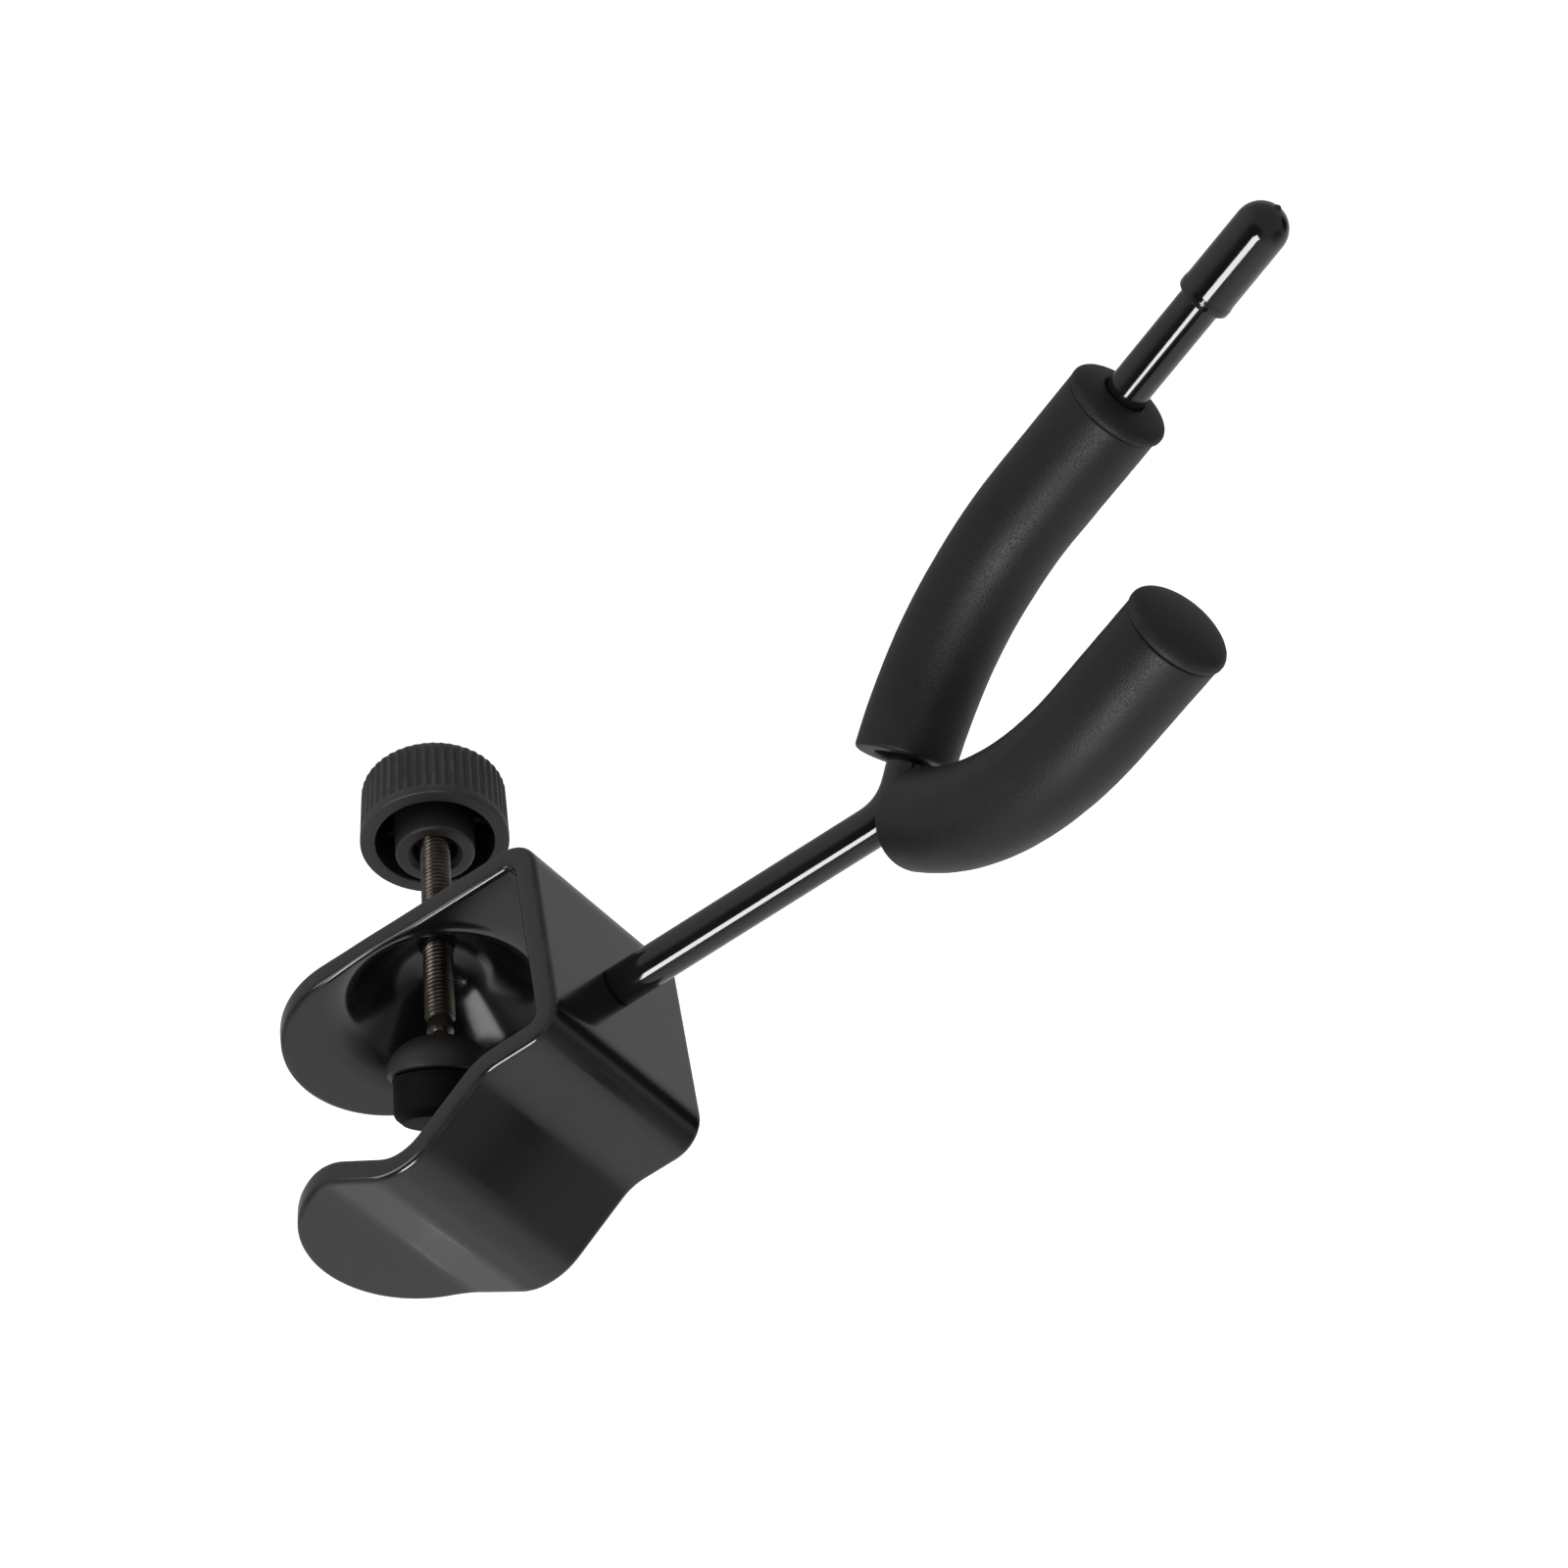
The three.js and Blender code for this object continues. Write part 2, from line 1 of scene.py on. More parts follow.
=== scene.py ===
"""Looks of the clamp-on instrument hanger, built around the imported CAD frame.

Lengths in this script are millimetres until mesh_object() writes them in metres.
"""

import bisect
import json
import math

import bmesh
import bpy
from mathutils import Matrix, Vector, noise


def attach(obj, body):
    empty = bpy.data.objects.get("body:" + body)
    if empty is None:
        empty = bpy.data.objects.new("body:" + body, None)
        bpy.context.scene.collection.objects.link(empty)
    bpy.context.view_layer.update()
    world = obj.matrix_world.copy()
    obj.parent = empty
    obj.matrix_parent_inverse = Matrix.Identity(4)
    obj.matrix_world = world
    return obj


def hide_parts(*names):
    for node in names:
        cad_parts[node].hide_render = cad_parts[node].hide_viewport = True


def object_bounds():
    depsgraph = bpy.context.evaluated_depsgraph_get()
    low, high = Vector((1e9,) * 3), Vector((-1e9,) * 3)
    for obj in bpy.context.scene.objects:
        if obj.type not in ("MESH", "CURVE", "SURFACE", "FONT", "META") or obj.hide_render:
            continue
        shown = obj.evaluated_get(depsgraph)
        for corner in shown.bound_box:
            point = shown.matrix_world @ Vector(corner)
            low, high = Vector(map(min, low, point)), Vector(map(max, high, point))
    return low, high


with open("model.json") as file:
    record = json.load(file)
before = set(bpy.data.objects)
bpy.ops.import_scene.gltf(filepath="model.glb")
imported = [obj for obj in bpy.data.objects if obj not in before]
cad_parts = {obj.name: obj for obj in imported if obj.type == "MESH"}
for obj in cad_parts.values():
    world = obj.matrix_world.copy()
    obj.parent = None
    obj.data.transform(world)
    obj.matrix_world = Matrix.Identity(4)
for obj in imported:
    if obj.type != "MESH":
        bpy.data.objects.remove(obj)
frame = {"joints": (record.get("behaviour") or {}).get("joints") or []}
cad_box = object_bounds()
joints = {joint["name"]: joint for joint in frame["joints"]}
MM = 0.001

# ---- dimensions, the same as the CAD part's ------------------------------------------------------
SHEET = 4.8
WIDTH = 45.0
MOUTH = 40.4
WEB_Y = -10.0
ARM_TIP_Y = 63.3
ARM_SPLAY = math.radians(0.9)
EDGE_ROUND = 1.15  # the strip's worn and painted edges
STRIP_CORNERS = [  # middle line of the strip: x, y, bend radius
    (MOUTH + SHEET / 2 + math.tan(ARM_SPLAY) * (ARM_TIP_Y - WEB_Y), ARM_TIP_Y, 0),
    (MOUTH + SHEET / 2, WEB_Y + SHEET / 2, 4.6),
    (-SHEET / 2, WEB_Y + SHEET / 2, 4.6),
    (-SHEET / 2, 8.0, 12),
    (-15.0, 28.0, 11),
    (-4.4, 45.5, 16),
    (-2.5, 63.3, 0),
]
BOWL_Y = 28.85
BOWL_DEPTH = 16.1
BOWL_SLOPE = math.radians(50)
BOWL_RIM_R = 20.4
BOWL_WALL = 3.6

SCREW_R = 3.0
NECK_R = 1.7
PITCH = 1.0
BALL_BELOW_FLOOR = 27.3
THREAD_START = 8.8  # this and the next four: distances from the ball's centre
BOSS_FACE = 52.7
KNOB_RIM = 56.0
KNOB_TOP = 71.3
KNOB_CEILING = 68.1
KNOB_R = 14.9
KNOB_BAND = 1.9  # the smooth band between the rim and the flutes
KNOB_FLUTES = 48
FLUTE_DEPTH = 0.5
BALL_R = 3.3
SOCKET_R = 3.6
CAP_R = 10.4
PAD_TILT = math.radians(27)

ROD_R = 3.95
ROD_X = MOUTH / 2
PARTING = Vector((ROD_X, WEB_Y - 64.4, 0))
YOKE_TILT = math.radians(20.7)
ARM_SPREAD = 29.4
ROD_SWEEP = (math.radians(50), 70)
# sleeves: angle at the start, radius of the bend, where the bend ends, where the sleeve ends
LONG_SLEEVE = (math.radians(45.2), 70, 55.0, 79)
SHORT_SLEEVE = (math.radians(47.8), 67, 55.5, 76.6)
SLEEVE_R = 9.6
BORE_R = 5.8
SPIGOT_R = 3.0  # the rod's turned-down end in the web
ROD_BORE_R = 4.05  # where a bar goes through foam or into vinyl
DISC_R = 9.95
LONG_DISC_RUN = 79.2  # runs: distances from the parting along the yoke's centre line
SHORT_DISC_RUN = 76.8
LONG_ROD_RUN = 124.4
SHORT_ROD_RUN = 72
TIP_CAP_RUN = 105.3
TIP_CAP_END = 127.8
TIP_CAP_R = 5.05
CARD_DISTANCE = 120

# ---- materials -----------------------------------------------------------------------------------


def tree(name):
    """A new material with its shader, ready for node building."""
    material = bpy.data.materials.new(name)
    material.use_nodes = True
    nodes = material.node_tree.nodes
    return material, nodes, material.node_tree.links, nodes["Principled BSDF"]


def pattern(nodes, links, scale, detail=3.0, stretch=(1, 1, 1), roughness=0.5):
    """Noise in the object's own space; scale is in features per metre."""
    place = nodes.new("ShaderNodeTexCoord")
    mapping = nodes.new("ShaderNodeMapping")
    mapping.inputs["Scale"].default_value = stretch
    texture = nodes.new("ShaderNodeTexNoise")
    texture.inputs["Scale"].default_value = scale
    texture.inputs["Detail"].default_value = detail
    texture.inputs["Roughness"].default_value = roughness
    links.new(place.outputs["Object"], mapping.inputs["Vector"])
    links.new(mapping.outputs["Vector"], texture.inputs["Vector"])
    return texture.outputs["Fac"]


def cells(nodes, links, scale):
    """Distance to the nearest cell centre, for pores."""
    place = nodes.new("ShaderNodeTexCoord")
    texture = nodes.new("ShaderNodeTexVoronoi")
    texture.inputs["Scale"].default_value = scale
    links.new(place.outputs["Object"], texture.inputs["Vector"])
    return texture.outputs["Distance"]


def spread(nodes, links, source, low, high, start=0.3, end=0.7):
    """Maps a pattern's middle range to low..high."""
    node = nodes.new("ShaderNodeMapRange")
    node.inputs["From Min"].default_value = start
    node.inputs["From Max"].default_value = end
    node.inputs["To Min"].default_value = low
    node.inputs["To Max"].default_value = high
    links.new(source, node.inputs["Value"])
    return node.outputs["Result"]


def mix_colours(nodes, links, factor, first, second):
    """Colour between two colours or colour outputs."""
    node = nodes.new("ShaderNodeMix")
    node.data_type = "RGBA"
    links.new(factor, node.inputs["Factor"])
    for socket, value in ((node.inputs[6], first), (node.inputs[7], second)):
        if isinstance(value, tuple):
            socket.default_value = (*value, 1)
        else:
            links.new(value, socket)
    return node.outputs[2]


def add(nodes, links, first, second):
    """Sum of two values."""
    node = nodes.new("ShaderNodeMath")
    node.operation = "ADD"
    links.new(first, node.inputs[0])
    links.new(second, node.inputs[1])
    return node.outputs["Value"]


def bump(nodes, links, height, depth, strength=1.0, under=None):
    """A relief of the given depth in mm, laid on another one if there is one."""
    node = nodes.new("ShaderNodeBump")
    node.inputs["Strength"].default_value = strength
    node.inputs["Distance"].default_value = depth * MM
    links.new(height, node.inputs["Height"])
    if under is not None:
        links.new(under, node.inputs["Normal"])
    return node.outputs["Normal"]


def edge_wear(nodes):
    """The vertex attribute that is 1 on tight outside edges."""
    node = nodes.new("ShaderNodeAttribute")
    node.attribute_name = "edge"
    return node.outputs["Fac"]


def surface(name, dark, light, worn, rough, fine, fine_depth, broad, broad_depth,
            specular=0.5, metallic=0.0, pores=0.0, stretch=(1, 1, 1), wear=0.5):
    """Two-tone surface with roughness and relief at two scales, and lighter or rubbed edges.

    fine, broad and pores are features per metre; the depths are in mm.
    """
    material, nodes, links, shader = tree(name)
    blotch = pattern(nodes, links, broad, 4.0)
    grain = pattern(nodes, links, fine, 3.0, stretch, 0.6)
    colour = mix_colours(nodes, links, spread(nodes, links, blotch, 0, 1), dark, light)
    speck = spread(nodes, links, grain, 0, 0.35, 0.45, 0.75)
    colour = mix_colours(nodes, links, speck, colour, light)
    rubbed = nodes.new("ShaderNodeMath")
    rubbed.operation = "MULTIPLY"
    links.new(edge_wear(nodes), rubbed.inputs[0])
    links.new(spread(nodes, links, pattern(nodes, links, 260, 5.0), 0, wear, 0.35, 0.62),
              rubbed.inputs[1])
    colour = mix_colours(nodes, links, rubbed.outputs["Value"], colour, worn)
    links.new(colour, shader.inputs["Base Color"])
    low, high = rough
    roughness = add(nodes, links, spread(nodes, links, blotch, low, (low + high) / 2),
                    spread(nodes, links, grain, 0, (high - low) / 2))
    links.new(roughness, shader.inputs["Roughness"])
    normal = bump(nodes, links, grain, fine_depth)
    normal = bump(nodes, links, blotch, broad_depth, under=normal)
    if pores:
        pits = spread(nodes, links, cells(nodes, links, pores), 0, 1, 0.05, 0.5)
        normal = bump(nodes, links, pits, 0.06, 0.7, normal)
    links.new(normal, shader.inputs["Normal"])
    shader.inputs["Metallic"].default_value = metallic
    shader.inputs["Specular IOR Level"].default_value = specular
    return material


paint = surface("bracket_paint", (0.0022, 0.0022, 0.0025), (0.0042, 0.0042, 0.0046),
                (0.014, 0.014, 0.015), (0.13, 0.19), 900, 0.001, 45, 0.02, wear=0.4)
rod_paint = surface("rod_paint", (0.003, 0.003, 0.0034), (0.005, 0.005, 0.0056),
                    (0.012, 0.012, 0.013), (0.05, 0.1), 500, 0.001, 90, 0.008)
foam = surface("foam", (0.0034, 0.0034, 0.0037), (0.0056, 0.0056, 0.006), (0.010, 0.010, 0.0105),
               (0.42, 0.52), 2600, 0.03, 70, 0.15, specular=0.28, pores=2400)
end_foam = surface("end_foam", (0.005, 0.005, 0.0054), (0.0085, 0.0085, 0.009),
                   (0.018, 0.018, 0.019), (0.5, 0.62), 1900, 0.05, 110, 0.15,
                   specular=0.26, pores=1700)
vinyl = surface("tip_vinyl", (0.0025, 0.0025, 0.003), (0.004, 0.004, 0.0045),
                (0.008, 0.008, 0.009), (0.06, 0.12), 350, 0.002, 120, 0.02)
screw_steel = surface("screw_steel", (0.036, 0.03, 0.024), (0.076, 0.064, 0.052),
                      (0.17, 0.148, 0.125), (0.24, 0.38), 1500, 0.015, 240, 0.02,
                      metallic=0.9, stretch=(0.15, 1, 1), wear=0.75)
knob_plastic = surface("knob_plastic", (0.0055, 0.0055, 0.006), (0.0095, 0.0095, 0.01),
                       (0.026, 0.026, 0.027), (0.42, 0.56), 2800, 0.035, 80, 0.05,
                       wear=0.6)
pad_plastic = surface("pad_plastic", (0.006, 0.006, 0.0065), (0.0095, 0.0095, 0.01),
                      (0.018, 0.018, 0.019), (0.46, 0.58), 2200, 0.03, 90, 0.05,
                      specular=0.4, wear=0.5)
pad_rubber = surface("pad_rubber", (0.001, 0.001, 0.0012), (0.002, 0.002, 0.0023),
                     (0.005, 0.005, 0.0055), (0.55, 0.7), 1700, 0.04, 100, 0.05,
                     specular=0.09)

# ---- mesh building -------------------------------------------------------------------------------


def mark_edges(mesh):
    """Writes the vertex attribute "edge": 1 where the surface bends outwards within about 2 mm."""
    work = bmesh.new()
    work.from_mesh(mesh)
    values = []
    for vertex in work.verts:
        bend = 0.0
        for edge in vertex.link_edges:
            if len(edge.link_faces) == 2:
                across = sum(face.calc_area() for face in edge.link_faces)
                across /= 2 * max(edge.calc_length(), 1e-7)
                turn = edge.calc_face_angle_signed(0.0)
                bend = max(bend, turn / max(across, 1e-5) * MM)
        values.append(min(1.0, max(0.0, (bend - 0.3) / 0.5)))
    work.free()
    layer = mesh.attributes.new("edge", "FLOAT", "POINT")
    layer.data.foreach_set("value", values)


def mesh_object(name, verts, faces, material, sharp=38, cutters=(), joined=()):
    """An object from points in mm, with cutters taken away and others joined on."""
    mesh = bpy.data.meshes.new(name)
    mesh.from_pydata([tuple(c * MM for c in v) for v in verts], [], faces)
    work = bmesh.new()
    work.from_mesh(mesh)
    bmesh.ops.remove_doubles(work, verts=work.verts, dist=1e-6)
    bmesh.ops.dissolve_degenerate(work, edges=work.edges, dist=1e-7)
    bmesh.ops.recalc_face_normals(work, faces=work.faces)
    work.to_mesh(mesh)
    work.free()
    made = bpy.data.objects.new(name, mesh)
    bpy.context.scene.collection.objects.link(made)
    for others, operation in ((cutters, "DIFFERENCE"), (joined, "UNION")):
        for other in others:
            modifier = made.modifiers.new("fit", "BOOLEAN")
            modifier.operation, modifier.solver, modifier.object = operation, "EXACT", other
            bpy.context.view_layer.update()
            evaluated = made.evaluated_get(bpy.context.evaluated_depsgraph_get())
            result = bpy.data.meshes.new_from_object(evaluated)
            made.modifiers.clear()
            made.data = result
            bpy.data.objects.remove(other)
    mesh = made.data
    mesh.name = name
    mesh.polygons.foreach_set("use_smooth", [True] * len(mesh.polygons))
    mesh.set_sharp_from_angle(angle=math.radians(sharp))
    if material is not None:
        mark_edges(mesh)
        mesh.materials.clear()
        mesh.materials.append(material)
    return made


def rounded_line(corners, closed=False, steps=5):
    """Points of a 2-D line whose corners (x, y, radius) are rounded."""
    points = []
    for i, (x, y, radius) in enumerate(corners):
        here = Vector((x, y))
        if radius == 0 or (not closed and i in (0, len(corners) - 1)):
            points.append(here)
            continue
        into = (here - Vector(corners[i - 1][:2])).normalized()
        out = (Vector(corners[(i + 1) % len(corners)][:2]) - here).normalized()
        turn = math.atan2(into.x * out.y - into.y * out.x, into.dot(out))
        start = here - into * radius * math.tan(abs(turn) / 2)
        centre = start + Vector((-into.y, into.x)) * math.copysign(radius, turn)
        for k in range(steps + 1):
            arm = (start - centre).to_3d()
            arm.rotate(Matrix.Rotation(turn * k / steps, 3, "Z"))
            points.append(centre + arm.to_2d())
    return points


class Path:
    """A line through space with a frame that doesn't twist. It goes on straight past its ends."""

    def __init__(self, points, across):
        self.lengths = [0.0]
        for a, b in zip(points, points[1:]):
            self.lengths.append(self.lengths[-1] + (b - a).length)
        self.frames = []
        last = len(points) - 1
        for i, point in enumerate(points):
            along = (points[min(i + 1, last)] - points[max(i - 1, 0)]).normalized()
            across = (across - along * across.dot(along)).normalized()
            self.frames.append((point, across, along.cross(across), along))

    def frame(self, distance):
        """Point, two cross directions and heading at a distance along the line."""
        i = bisect.bisect(self.lengths, distance) - 1
        i = max(0, min(i, len(self.lengths) - 2))
        share = (distance - self.lengths[i]) / (self.lengths[i + 1] - self.lengths[i])
        a, b = self.frames[i], self.frames[i + 1]
        held = max(0.0, min(1.0, share))
        axes = [u.lerp(v, held).normalized() for u, v in zip(a[1:], b[1:])]
        return [a[0] + (b[0] - a[0]) * share, *axes]


def revolved(path, profile, sides, closed=False, shape=None):
    """Points and faces of a body of revolution bent along a path, from (distance, radius) pairs."""
    verts, faces, rings = [], [], []
    for distance, radius in profile:
        origin, across, up, _ = path.frame(distance)
        ring = []
        for k in range(sides if radius > 1e-6 else 1):
            angle = 2 * math.pi * k / sides
            r = shape(distance, angle, radius) if shape else radius
            verts.append(origin + across * (r * math.cos(angle)) + up * (r * math.sin(angle)))
            ring.append(len(verts) - 1)
        rings.append(ring)
    for a, b in zip(rings, rings[1:] + (rings[:1] if closed else [])):
        for k in range(sides):
            n = (k + 1) % sides
            if len(a) > 1 and len(b) > 1:
                faces.append((a[k], a[n], b[n], b[k]))
            elif len(b) > 1:
                faces.append((a[0], b[n], b[k]))
            elif len(a) > 1:
                faces.append((a[k], a[n], b[0]))
    return verts, faces


def even(line, step):
    """Adds points to a 2-D line so that none of its stretches is longer than step."""
    points = [line[0]]
    for a, b in zip(line, line[1:]):
        parts = max(1, math.ceil((b - a).length / step))
        points += [a.lerp(b, k / parts) for k in range(1, parts + 1)]
    return points


def turned(name, path, corners, material, sides=64, closed=False, shape=None, step=100.0, **more):
    """A turned or extruded piece from profile corners (distance, radius, rounding)."""
    line = rounded_line(corners, closed)
    if closed:
        line = even([*line, line[0]], step)[:-1]
    else:
        line = even(line, step)
    return mesh_object(name, *revolved(path, line, sides, closed, shape), material, **more)


def plain_cylinder(start, axis, length, radius):
    """A cutter for a hole."""
    path = Path([start, start + axis], axis.orthogonal())
    profile = [(0, 0), (0, radius), (length, radius), (length, 0)]
    return mesh_object("cutter", *revolved(path, profile, 64), None)


# ---- clamp bracket -------------------------------------------------------------------------------


def strip_line():
    """The strip's middle line as stretches: (start, heading, length, curvature)."""
    stretches = []
    points = [Vector(corner[:2]) for corner in STRIP_CORNERS]
    here = points[0]
    for i in range(1, len(points)):
        heading = (points[i] - points[i - 1]).normalized()
        end = points[i]
        turn = reach = 0.0
        if i < len(points) - 1:
            radius = STRIP_CORNERS[i][2]
            out = (points[i + 1] - points[i]).normalized()
            turn = math.atan2(heading.x * out.y - heading.y * out.x, heading.dot(out))
            reach = radius * math.tan(abs(turn) / 2)
            end = points[i] - heading * reach
        stretches.append((here, heading, (end - here).length, 0.0))
        if turn:
            stretches.append((end, heading, abs(turn) * radius, math.copysign(1 / radius, turn)))
            here = points[i] + out * reach
    return stretches


def strip_frame(stretches, s):
    """Point and outward normal of the strip's middle line at a length from the arm's end."""
    for start, heading, length, curvature in stretches:
        if s <= length or (start, heading) == stretches[-1][:2]:
            break
        s -= length
    left = Vector((-heading.y, heading.x))
    if curvature == 0:
        return start + heading * s, left
    turn = s * curvature
    point = start + heading * (math.sin(turn) / curvature) + left * ((1 - math.cos(turn)) / curvature)
    return point, left * math.cos(turn) - heading * math.sin(turn)


def cone_height(r, rim_r, depth, rim_round, floor_round):
    """Height of a cone with a flat top and two roundings, at radius r."""
    set_back = math.tan(BOWL_SLOPE / 2)
    cos_slope = math.cos(BOWL_SLOPE)
    top_r = rim_r - depth / math.tan(BOWL_SLOPE)
    foot = rim_r + rim_round * set_back
    crest = top_r - floor_round * set_back
    if r >= foot:
        return 0.0
    if r >= rim_r - rim_round * set_back * cos_slope:
        return rim_round - math.sqrt(rim_round ** 2 - (foot - r) ** 2)
    if r >= top_r + floor_round * set_back * cos_slope:
        return (rim_r - r) * math.tan(BOWL_SLOPE)
    if r >= crest:
        return depth - floor_round + math.sqrt(floor_round ** 2 - (r - crest) ** 2)
    return depth


def bracket():
    """The strip with rounded ends and edges, bent to a C, with the bowl pressed into its arm."""
    stretches = strip_line()
    total = sum(stretch[2] for stretch in stretches)
    half, end_r = SHEET / 2, WIDTH / 2
    past_bowl = 72
    bowl_s = (ARM_TIP_Y - BOWL_Y - (BOWL_DEPTH + half) * math.sin(ARM_SPLAY)) / math.cos(ARM_SPLAY)
    outer_rim = BOWL_RIM_R + BOWL_WALL / math.sin(BOWL_SLOPE) - SHEET / math.tan(BOWL_SLOPE)

    def place(s, z, t):
        """A point of the flat plate, bent and pressed: t is its height over the middle line."""
        r = math.hypot(s - bowl_s, z)
        share = (t + half) / SHEET
        inner = cone_height(r, BOWL_RIM_R, BOWL_DEPTH, 9.0, 14.0)
        outer = cone_height(r, outer_rim, BOWL_DEPTH + BOWL_WALL - SHEET, 4.0, 8.0)
        if s < past_bowl + 8:
            t += inner * (1 - share) + outer * share
        point, normal = strip_frame(stretches, s)
        point = point + normal * t
        return Vector((point.x, point.y, z))

    # rungs across the plate: an angle on a round end, or a place along the straight part
    rungs = [("start", a) for a in (2, 4, 7, 10, 13)]
    rungs += [("start", 13 + 1.54 * k) for k in range(1, 51)]
    straight = total - 2 * end_r
    middle = past_bowl - end_r
    rungs += [("middle", end_r + middle * k / 84) for k in range(85)]
    rungs += [("middle", past_bowl + (straight + end_r - past_bowl) * k / 100)
              for k in range(1, 101)]
    rungs += [("end", 90 - 3 * k) for k in range(1, 27)] + [("end", a) for a in (9, 6, 3)]

    def rim_point(rung, inset):
        """Place along the plate and across it where a rung meets the rim."""
        kind, value = rung
        if kind == "middle":
            return value, end_r - inset
        angle = math.radians(value)
        s = end_r - (end_r - inset) * math.cos(angle)
        return (s if kind == "start" else total - s), (end_r - inset) * math.sin(angle)

    # round edge from the outer face to the inner face: (inset, height)
    edge = []
    for k in range(6):
        a = math.pi / 2 * k / 5
        edge.append((EDGE_ROUND * (1 - math.sin(a)), half - EDGE_ROUND + EDGE_ROUND * math.cos(a)))
    edge += [(inset, -height) for inset, height in reversed(edge)]
    columns = 76
    verts, faces = [], []

    def vertex(s, z, t):
        verts.append(place(s, z, t))
        return len(verts) - 1

    tips = []  # the two ends, one vertex for each inset
    for s_of in (lambda inset: inset, lambda inset: total - inset):
        tips.append([vertex(s_of(inset), 0, height) for inset, height in edge])
    loops = []
    for rung in rungs:
        loop = []
        for side in (1, -1):
            for inset, height in (edge if side == 1 else reversed(edge)):
                s, z = rim_point(rung, inset)
                loop.append(vertex(s, side * z, height))
            s, z = rim_point(rung, EDGE_ROUND)
            height = -half if side == 1 else half
            for k in range(1, columns):
                loop.append(vertex(s, side * z * (1 - 2 * k / columns), height))
        loops.append(loop)
    count = len(loops[0])
    for a, b in zip(loops, loops[1:]):
        for k in range(count):
            n = (k + 1) % count
            faces.append((a[k], a[n], b[n], b[k]))
    points = len(edge)
    for tip, loop in ((tips[0], loops[0]), (tips[1], loops[-1])):
        side_a = loop[:points]
        start_b = points + columns - 1
        side_b = loop[start_b:start_b + points][::-1]
        for k in range(points - 1):
            faces.append((tip[k], tip[k + 1], side_a[k + 1], side_a[k]))
            faces.append((tip[k], side_b[k], side_b[k + 1], tip[k + 1]))
        inner = loop[points - 1:start_b + 1]
        outer = loop[start_b + points - 1:] + [loop[0]]
        faces += [(tip[-1], a, b) for a, b in zip(inner, inner[1:])]
        faces += [(tip[0], a, b) for a, b in zip(outer, outer[1:])]

    axis = Vector(joints["knob_turn"]["axis"])
    ball = Vector(joints["knob_turn"]["pos_m"]) / MM
    screw_hole = plain_cylinder(ball + axis * (BALL_BELOW_FLOOR - 6), axis, 16, SCREW_R + 0.12)
    rod_hole = plain_cylinder(Vector((ROD_X, WEB_Y - 1, 0)), Vector((0, 1, 0)), SHEET + 2, 3.2)
    return mesh_object("bracket_plate", verts, faces, paint, 50, cutters=(screw_hole, rod_hole))


# ---- yoke ----------------------------------------------------------------------------------------
RUN = Vector((0, -math.cos(YOKE_TILT), math.sin(YOKE_TILT)))
ACROSS = Vector((1, 0, 0))


def yoke_point(run, sideways):
    """A point at a run along the yoke's centre line from the parting, and so far to the side."""
    return PARTING + RUN * run + ACROSS * sideways


def lead_of(sweep):
    """Length of the straight between the parting and an arm's bend."""
    angle, radius = sweep
    return (ARM_SPREAD - radius * (1 - math.cos(angle))) / math.sin(angle)


def arm_points(sweep, side, distance, end_run):
    """An arm's middle line from a distance along it to a run along the yoke's centre line."""
    angle, radius = sweep
    lead = lead_of(sweep)
    sweep_end = lead * math.cos(angle) + radius * math.sin(angle)
    points = []
    if distance < lead:
        for k in range(9):
            d = distance + (lead - distance) * k / 8
            points.append(yoke_point(d * math.cos(angle), side * d * math.sin(angle)))
    start = angle - max(0.0, distance - lead) / radius
    for k in range(0 if distance >= lead else 1, 49):
        a = start * (1 - k / 48)
        run = sweep_end - radius * math.sin(a)
        points.append(yoke_point(run, side * (ARM_SPREAD - radius * (1 - math.cos(a)))))
    for k in range(1, 13):
        run = sweep_end + (end_run - sweep_end) * k / 12
        points.append(yoke_point(run, side * ARM_SPREAD))
    return points


def long_rod():
    """The long bar: a spigot in the web, the shank, a bend at the parting and an arm."""
    lead = lead_of(ROD_SWEEP)
    bend_start = PARTING + Vector((0, lead, 0))
    arm = arm_points(ROD_SWEEP, 1, lead, LONG_ROD_RUN)
    points = [Vector((ROD_X, WEB_Y, 0)).lerp(bend_start, k / 20) for k in range(20)]
    for k in range(12):  # one smooth bend into the arm
        t = k / 12
        points.append(bend_start * (1 - t) ** 2 + PARTING * (2 * t * (1 - t)) + arm[0] * t * t)
    path = Path(points + arm, ACROSS)
    length = path.lengths[-1]
    corners = [(-4.5, 0, 0), (-4.5, SPIGOT_R, 0.4), (0.15, SPIGOT_R, 0), (0.15, ROD_R, 0.1),
               (length, ROD_R, 1), (length, 0, 0)]
    return turned("long_rod_bar", path, corners, rod_paint, 64, step=1.5)


def short_rod():
    """The short bar, which starts at the long one's side."""
    path = Path(arm_points(ROD_SWEEP, -1, 1.7, SHORT_ROD_RUN), ACROSS)
    length = path.lengths[-1]
    corners = [(0, 0, 0), (0, ROD_R, 0), (length, ROD_R, 1), (length, 0, 0)]
    return turned("short_rod_bar", path, corners, rod_paint, 64, step=1.5)


def sleeve_points(side, angle, radius, sweep_end, end_run):
    """A sleeve's middle line: an arc from an angle to the yoke's direction, then straight."""
    points = []
    for k in range(61):
        a = angle * (1 - k / 60)
        run = sweep_end - radius * math.sin(a)
        points.append(yoke_point(run, side * (ARM_SPREAD - radius * (1 - math.cos(a)))))
    for k in range(1, 13):
        points.append(yoke_point(sweep_end + (end_run - sweep_end) * k / 12, side * ARM_SPREAD))
    return points


